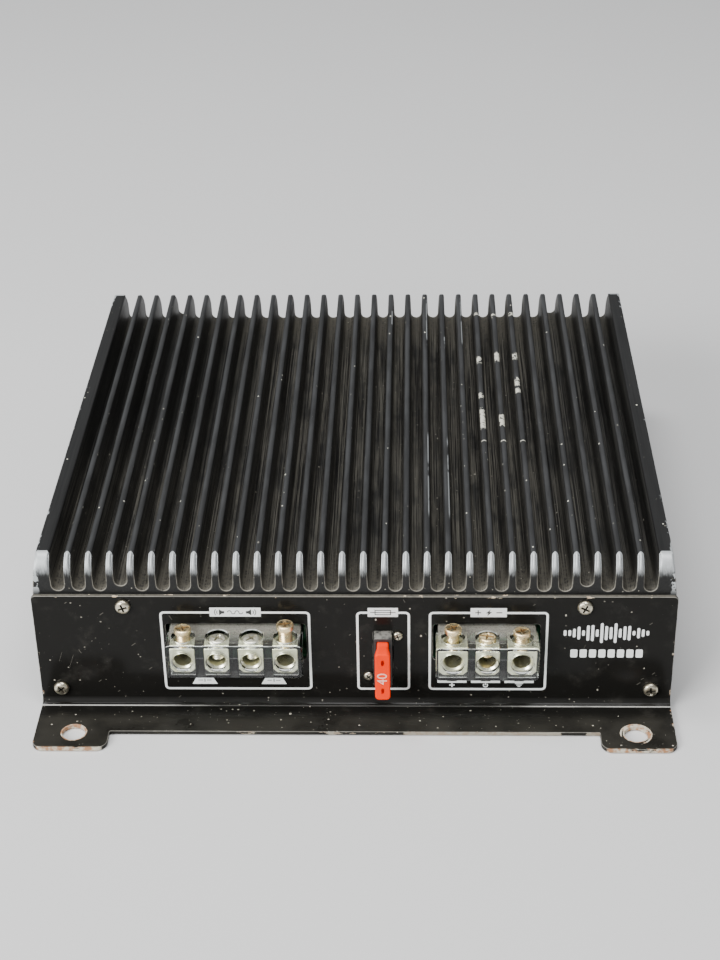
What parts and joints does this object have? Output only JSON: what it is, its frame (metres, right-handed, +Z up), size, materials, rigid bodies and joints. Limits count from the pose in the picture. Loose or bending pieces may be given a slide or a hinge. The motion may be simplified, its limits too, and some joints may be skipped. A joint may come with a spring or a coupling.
{
  "type": "car amplifier",
  "caption": "Finned aluminium car audio amplifier with bent steel end panels, clear screw-terminal blocks, a blade fuse and rear level controls.",
  "frame": {"origin": "middle of the footprint, on the surface that the mounting flanges rest on", "axes": "+Z up, -Y towards the front panel with the fuse and terminals, +X to the right seen from the front"},
  "size_m": [0.22, 0.264, 0.0604],
  "materials": {
    "extrusion": "satin black, dusty in the valleys",
    "enamel": "gloss black, chipped at the edges",
    "zinc_steel": "bright zinc plate",
    "screw_nickel": "nickel plate",
    "terminal_nickel": "nickel plate",
    "screw_copper": "copper-brass plate",
    "clear_plastic": "clear polycarbonate",
    "holder_plastic": "moulded black",
    "fuse_plastic": "tinted orange",
    "fuse_zinc": "plain zinc",
    "spring_brass": "plain",
    "board": "solder-masked board",
    "ferrite": "matt",
    "wire": "enamelled copper wire",
    "can": "sleeved can",
    "epoxy": "moulded epoxy",
    "knob_plastic": "moulded black",
    "jack_nickel": "nickel plate",
    "lens_green": "tinted lens",
    "lens_red": "tinted lens"
  },
  "bodies": {
    "chassis": {"heatsink": "extrusion", "base_plate": "zinc_steel", "front_panel": "enamel", "rear_panel": "enamel", "front_panel_screw_1": "screw_nickel", "front_panel_screw_2": "screw_nickel", "front_panel_screw_3": "screw_nickel", "front_panel_screw_4": "screw_nickel", "rear_panel_screw_1": "screw_nickel", "rear_panel_screw_2": "screw_nickel", "rear_panel_screw_3": "screw_nickel", "rear_panel_screw_4": "screw_nickel", "fuse_holder_screw_1": "screw_nickel", "fuse_holder_screw_2": "screw_nickel", "speaker_block_housing": "clear_plastic", "power_block_housing": "clear_plastic", "speaker_terminal_1": "terminal_nickel", "speaker_terminal_2": "terminal_nickel", "speaker_terminal_3": "terminal_nickel", "speaker_terminal_4": "terminal_nickel", "battery_terminal": "terminal_nickel", "remote_terminal": "terminal_nickel", "ground_terminal": "terminal_nickel", "fuse_holder": "holder_plastic", "fuse_contact_1": "spring_brass", "fuse_contact_2": "spring_brass", "circuit_board": "board", "transformer_core": "ferrite", "inductor_core": "ferrite", "transformer_winding": "wire", "inductor_winding": "wire", "capacitor_1": "can", "capacitor_2": "can", "power_transistor_1": "epoxy", "power_transistor_2": "epoxy", "power_transistor_3": "epoxy", "power_transistor_4": "epoxy", "transistor_clamp_1": "zinc_steel", "transistor_clamp_2": "zinc_steel", "input_jack_block": "holder_plastic", "remote_level_jack": "holder_plastic", "input_jack_1": "jack_nickel", "input_jack_2": "jack_nickel", "level_pot": "zinc_steel", "low_pass_pot": "zinc_steel", "bass_boost_pot": "zinc_steel", "power_led": "lens_green", "protection_led": "lens_red"},
    "speaker_screw_1_body": {"speaker_screw_1": "screw_copper"},
    "speaker_screw_2_body": {"speaker_screw_2": "screw_copper"},
    "speaker_screw_3_body": {"speaker_screw_3": "screw_copper"},
    "speaker_screw_4_body": {"speaker_screw_4": "screw_copper"},
    "battery_screw_body": {"battery_screw": "screw_copper"},
    "remote_screw_body": {"remote_screw": "screw_copper"},
    "ground_screw_body": {"ground_screw": "screw_copper"},
    "fuse": {"fuse_body": "fuse_plastic", "fuse_element": "fuse_zinc"},
    "level_control": {"level_knob": "knob_plastic"},
    "low_pass_control": {"low_pass_knob": "knob_plastic"},
    "bass_boost_control": {"bass_boost_knob": "knob_plastic"}
  },
  "joints": [
    {"name": "speaker_screw_1_travel", "type": "slide", "parent": "chassis", "child": "speaker_screw_1_body", "axis": [0, 0, 1], "range_m": [-0.00415, 0.0026]},
    {"name": "speaker_screw_2_travel", "type": "slide", "parent": "chassis", "child": "speaker_screw_2_body", "axis": [0, 0, 1], "range_m": [0, 0.00675]},
    {"name": "speaker_screw_3_travel", "type": "slide", "parent": "chassis", "child": "speaker_screw_3_body", "axis": [0, 0, 1], "range_m": [0, 0.00675]},
    {"name": "speaker_screw_4_travel", "type": "slide", "parent": "chassis", "child": "speaker_screw_4_body", "axis": [0, 0, 1], "range_m": [-0.00585, 0.0009]},
    {"name": "battery_screw_travel", "type": "slide", "parent": "chassis", "child": "battery_screw_body", "axis": [0, 0, 1], "range_m": [-0.00465, 0.0019]},
    {"name": "remote_screw_travel", "type": "slide", "parent": "chassis", "child": "remote_screw_body", "axis": [0, 0, 1], "range_m": [-0.00115, 0.0054]},
    {"name": "ground_screw_travel", "type": "slide", "parent": "chassis", "child": "ground_screw_body", "axis": [0, 0, 1], "range_m": [-0.00345, 0.0031]},
    {"name": "fuse_pull", "type": "slide", "parent": "chassis", "child": "fuse", "axis": [0, -1, 0], "range_m": [0, 0.02]},
    {"name": "level_turn", "type": "hinge", "parent": "chassis", "child": "level_control", "pos_m": [0.014, 0.1062, 0.0266], "axis": [0, 1, 0], "range_deg": [-140, 140]},
    {"name": "low_pass_turn", "type": "hinge", "parent": "chassis", "child": "low_pass_control", "pos_m": [-0.01, 0.1062, 0.0266], "axis": [0, 1, 0], "range_deg": [-140, 140]},
    {"name": "bass_boost_turn", "type": "hinge", "parent": "chassis", "child": "bass_boost_control", "pos_m": [-0.034, 0.1062, 0.0266], "axis": [0, 1, 0], "range_deg": [-140, 140]}
  ]
}
